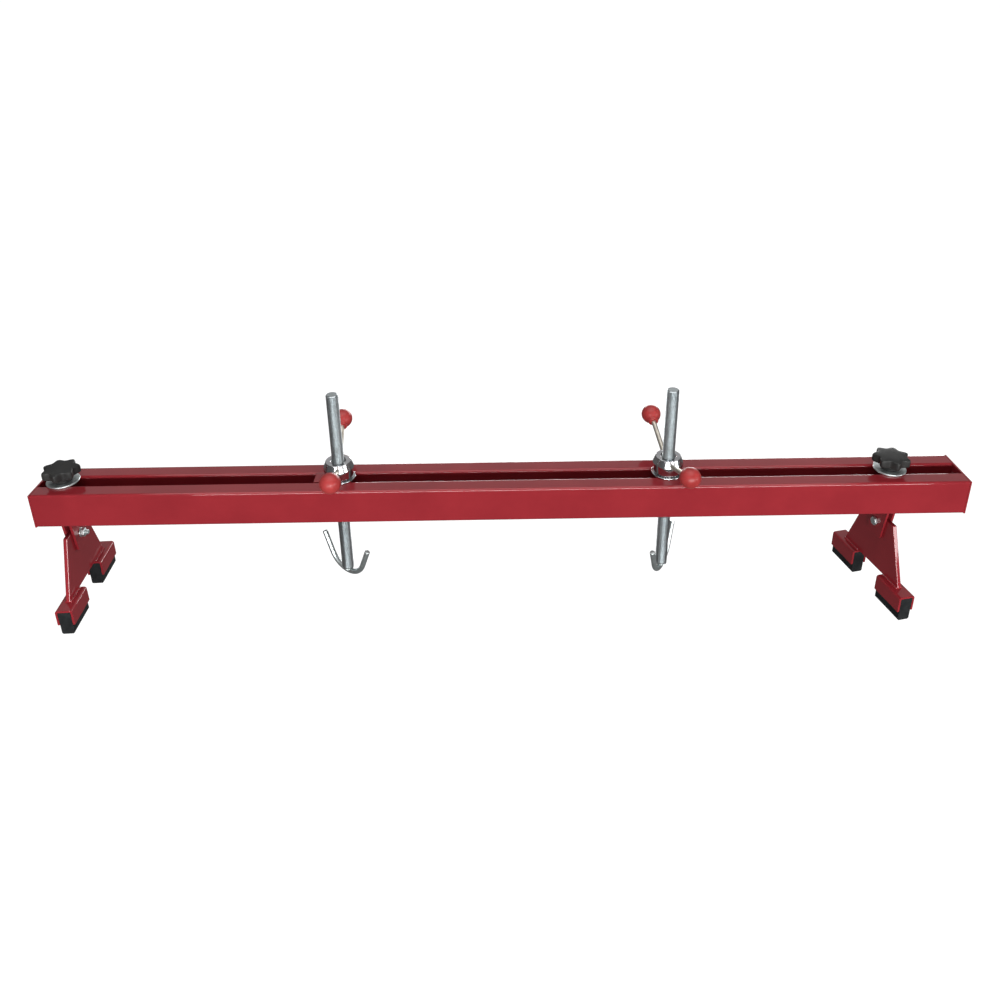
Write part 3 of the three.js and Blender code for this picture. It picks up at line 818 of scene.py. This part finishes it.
def make_ball_plastic():
    """Red moulded plastic: faint marbling and a satin skin with a very fine grain."""
    material, shader, nodes, links = surface("red_moulding", ball_colour, 0.35)
    marble = pattern(nodes, links, Scale=40, Detail=4, Roughness=0.6)
    links.new(
        blend_colours(nodes, links, marble.outputs["Fac"], ball_dark_colour, ball_colour,
                      0.25, 0.6),
        shader.inputs["Base Color"],
    )
    links.new(spread(nodes, links, marble.outputs["Fac"], 0.28, 0.44), shader.inputs["Roughness"])
    skin = pattern(nodes, links, Scale=700, Detail=2, Roughness=0.5)
    bumps(nodes, links, shader, ((skin.outputs["Fac"], 0.12, 0.00015),))
    shader.inputs["Specular IOR Level"].default_value = 0.3
    return material


def make_satin_steel():
    """Drawn steel with a warm satin plate: cloudy dull spots and a fine grain."""
    material, shader, nodes, links = surface("satin_steel", lever_colour, 0.42, 0.9)
    cloud = pattern(nodes, links, Scale=90, Detail=4, Roughness=0.6)
    links.new(
        blend_colours(nodes, links, cloud.outputs["Fac"], lever_dull_colour, lever_colour),
        shader.inputs["Base Color"],
    )
    links.new(spread(nodes, links, cloud.outputs["Fac"], 0.34, 0.55), shader.inputs["Roughness"])
    grain = pattern(nodes, links, Scale=1200, Detail=2, Roughness=0.5)
    bumps(nodes, links, shader, ((grain.outputs["Fac"], 0.1, 0.0001),))
    return material


chrome = make_chrome()
satin_steel = make_satin_steel()
ball_plastic = make_ball_plastic()
for side, (station_x, lever_yaw, hook_yaw) in stations.items():
    washer_low, washer_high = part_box(f"{side}_thrust_washer")
    rings = rounded_ring(nut_bore, thrust_washer_radius, washer_low[2], washer_high[2],
                         thrust_washer_edge)
    washer = turned(f"{side}_hard_washer", rings, 72, bored=True)
    bpy.ops.object.shade_smooth_by_angle(angle=math.radians(50))
    place(washer, (station_x, 0, 0))
    dress(washer, chrome, f"{side}_thrust_washer", "zinc_steel", f"{side}_thrust_washer")

    nut = turned(f"{side}_double_cone_nut", list(nut_outline), 72, bored=True)
    soften(nut, 0.6 * mm, 3, 20)
    place(nut, (station_x, 0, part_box(f"{side}_lift_nut")[0][2]), (0, 0, lever_yaw))
    dress(nut, chrome, f"{side}_lift_nut", "chrome_steel", f"{side}_lift_nut")

    for end, way in (("front", -1), ("rear", 1)):
        lean = -way * (math.radians(90) - lever_tilt)
        rod = turned(f"{side}_{end}_lever_rod", [
            (lever_radius - lever_edge, lever_start), (lever_radius, lever_start + lever_edge),
            (lever_radius, lever_end - lever_edge), (lever_radius - lever_edge, lever_end),
        ], 28)
        bpy.ops.object.shade_smooth_by_angle(angle=math.radians(30))
        rings = [(0.6 * neck_radius, -neck_length), (neck_radius - neck_edge, -neck_length),
                 (neck_radius, -neck_length + neck_edge), (neck_radius, neck_top)]
        for step in range(ball_steps + 1):
            angle = math.radians(-55 + 140 * step / ball_steps)
            rings.append((ball_radius * math.cos(angle), ball_radius * math.sin(angle)))
        grip = turned(f"{side}_{end}_ball", rings, 48)
        bpy.ops.object.shade_smooth_by_angle(angle=math.radians(40))
        place(grip, (0, 0, lever_end))
        for piece, finish, slot_name, node in (
            (rod, satin_steel, "chrome_steel", "lever"),
            (grip, ball_plastic, "red_ball", "ball_grip"),
        ):
            place(piece, (0, 0, rail_top + lever_axis_height), (lean, 0, 0))
            place(piece, (station_x, 0, 0), (0, 0, lever_yaw))
            dress(piece, finish, f"{side}_lift_nut", slot_name, f"{side}_{end}_{node}")

# Lift screws: 20 mm rod threaded end to end, zinc plated, with chamfered ends.
# Each hangs in its nut through the slot and carries the double hook below.
screw_radius = 10 * mm
screw_pitch = 2.5 * mm
screw_lead = 1.5 * mm
# Painted shade: the screws' zinc is a darker copy of the plate on the washers and hooks, standing
# in for the shade and dark reflections on the screws.
painted_shade_zinc_colours = ((0.42, 0.45, 0.46, 1), (0.52, 0.565, 0.58, 1))
zinc_with_painted_shade = make_zinc("zinc_with_painted_shade", painted_shade_zinc_colours, 0.27, 0.36)
for side, (station_x, lever_yaw, hook_yaw) in stations.items():
    low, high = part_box(f"{side}_lift_screw")
    screw = threaded(f"{side}_threaded_rod", screw_radius, screw_pitch, low[2], high[2], 36,
                     screw_lead)
    place(screw, (station_x, 0, 0))
    dress(screw, zinc_with_painted_shade, f"{side}_lift_screw", "zinc_steel", f"{side}_lift_screw")

# Double hooks: 9 mm round rod bent to a wide V with two straight arms and rounded tips.
# A fillet of weld holds the bottom of the bend to the end of the screw.
rod_radius = 4.5 * mm
bend_radius = 40 * mm
arm_length = 38.4 * mm
arm_lean = math.radians(66.5)
weld_height = 2.5 * mm
weld_profile = ((4.4, 0), (5.2, 2.4), (7.4, 4.4), (9.3, 5.6), (9.9, 6.4))  # radius, height
weld_top_radius = 9.6 * mm
hook_gap = 0.3 * mm
hook_facets = 24
bend_steps = 22
tip_round = 0.9 * mm
tip_steps = 4
bright_zinc = make_zinc("bright_zinc", zinc_colours, 0.32, 0.42)


def hook_arm(name):
    """Half of the bent rod: a circle spun through the bend, drawn out and rounded."""
    fresh()
    bpy.ops.mesh.primitive_circle_add(vertices=hook_facets, radius=rod_radius,
                                      fill_type="NOTHING")
    arm = place(named(name), (0, 0, 0), (0, math.radians(90), 0))
    bpy.ops.object.mode_set(mode="EDIT")
    bpy.ops.mesh.select_all(action="SELECT")
    bpy.ops.mesh.spin(steps=bend_steps, angle=arm_lean, center=(0, 0, bend_radius),
                      axis=(0, 1, 0))
    tip = Vector((bend_radius * math.sin(arm_lean), 0, bend_radius * (1 - math.cos(arm_lean))))
    along = Vector((math.cos(arm_lean), 0, math.sin(arm_lean)))
    size = 1.0
    for step in range(tip_steps + 1):
        angle = math.radians(90 * step / tip_steps)
        before = math.radians(90 * (step - 1) / tip_steps)
        reach = tip_round * (math.sin(angle) - math.sin(before))
        if step == 0:
            reach = arm_length - tip_round
        wanted = (rod_radius - tip_round * (1 - math.cos(angle))) / rod_radius
        bpy.ops.mesh.extrude_edges_move(TRANSFORM_OT_translate={"value": along * reach})
        tip += along * reach
        grow = wanted / size
        bpy.ops.transform.resize(value=(grow, grow, grow), center_override=tip)
        size = wanted
    bpy.ops.mesh.edge_face_add()
    bpy.ops.object.mode_set(mode="OBJECT")
    return arm


for side, (station_x, lever_yaw, hook_yaw) in stations.items():
    screw_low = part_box(f"{side}_lift_screw")[0][2]
    seat = rod_radius + weld_height
    right_arm = hook_arm("right_arm")
    left_arm = place(hook_arm("left_arm"), (0, 0, 0), (0, 0, math.pi))
    rings = [(out * mm, height * mm) for out, height in weld_profile]
    fillet = turned("fillet", rings + [(weld_top_radius, seat)], 28)
    rod = join(f"{side}_bent_rod", right_arm, left_arm)
    seal(rod)
    hook = join(f"{side}_rod_hook", rod, fillet)
    bpy.ops.object.shade_smooth_by_angle(angle=math.radians(40))
    place(hook, (station_x, 0, screw_low - hook_gap - seat), (0, 0, hook_yaw))
    dress(hook, bright_zinc, f"{side}_hook", "zinc_steel", f"{side}_double_hook")
